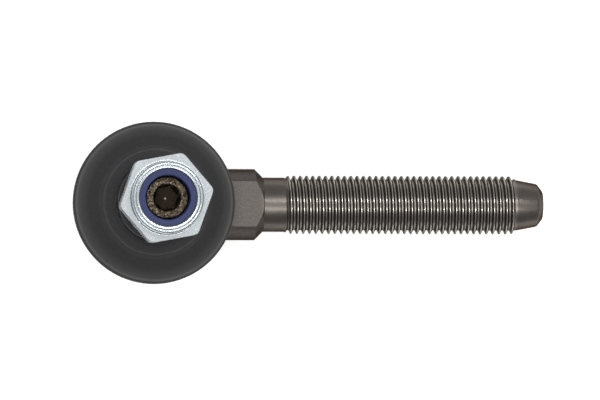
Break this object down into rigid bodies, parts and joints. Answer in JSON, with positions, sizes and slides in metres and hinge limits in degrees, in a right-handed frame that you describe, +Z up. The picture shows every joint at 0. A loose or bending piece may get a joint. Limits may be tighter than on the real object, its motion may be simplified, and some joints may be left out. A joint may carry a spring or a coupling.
{
  "type": "tie rod end",
  "caption": "Outer tie rod end: ball joint in a forged housing with a threaded shank, rubber dust boot, tapered ball stud and nylon-ring lock nut.",
  "frame": {"origin": "centre of the ball", "axes": "+Z up the ball stud to its lock nut, +X out along the threaded shank, whose axis lies 3.4 mm below the origin"},
  "size_m": [0.112, 0.038, 0.0722],
  "materials": {
    "phosphated_steel": "dark phosphated forging",
    "stud_steel": "turned and rolled steel",
    "zinc_plate": "bright zinc plating",
    "plate_steel": "pressed steel",
    "spring_steel": "oiled spring steel",
    "acetal": "natural moulded acetal",
    "nylon": "navy blue moulded nylon",
    "boot_rubber": "matt black moulded rubber"
  },
  "bodies": {
    "housing_body": {"housing": "phosphated_steel", "upper_seat": "acetal", "lower_seat": "acetal", "preload_spring": "spring_steel", "closing_plate": "plate_steel", "boot_clamp_ring": "spring_steel"},
    "boot_body": {"dust_boot": "boot_rubber"},
    "top_ring_body": {"boot_top_ring": "spring_steel"},
    "stud_body": {"ball_stud": "stud_steel"},
    "nylon_body": {"nylon_ring": "nylon"},
    "nut_body": {"lock_nut": "zinc_plate"}
  },
  "joints": [
    {"name": "swing_along_shank", "type": "hinge", "parent": "housing_body", "child": "boot_body", "pos_m": [0, 0, 0], "axis": [0, 1, 0], "range_deg": [-20, 20], "deforming": ["dust_boot"]},
    {"name": "swing_across_shank", "type": "hinge", "parent": "boot_body", "child": "top_ring_body", "pos_m": [0, 0, 0], "axis": [1, 0, 0], "range_deg": [-20, 20]},
    {"name": "stud_spin", "type": "hinge", "parent": "top_ring_body", "child": "stud_body", "pos_m": [0, 0, 0], "axis": [0, 0, 1], "continuous": true},
    {"name": "nut_travel", "type": "slide", "parent": "stud_body", "child": "nylon_body", "axis": [0, 0, 1], "range_m": [0, 0.0085]},
    {"name": "nut_turn", "type": "hinge", "parent": "nylon_body", "child": "nut_body", "pos_m": [0, 0, 0.0432], "axis": [0, 0, 1], "range_deg": [0, 2340]}
  ],
  "couplings": [
    {"joint": "nut_travel", "follows": "nut_turn", "m_per_rad": 0.00019894}
  ]
}
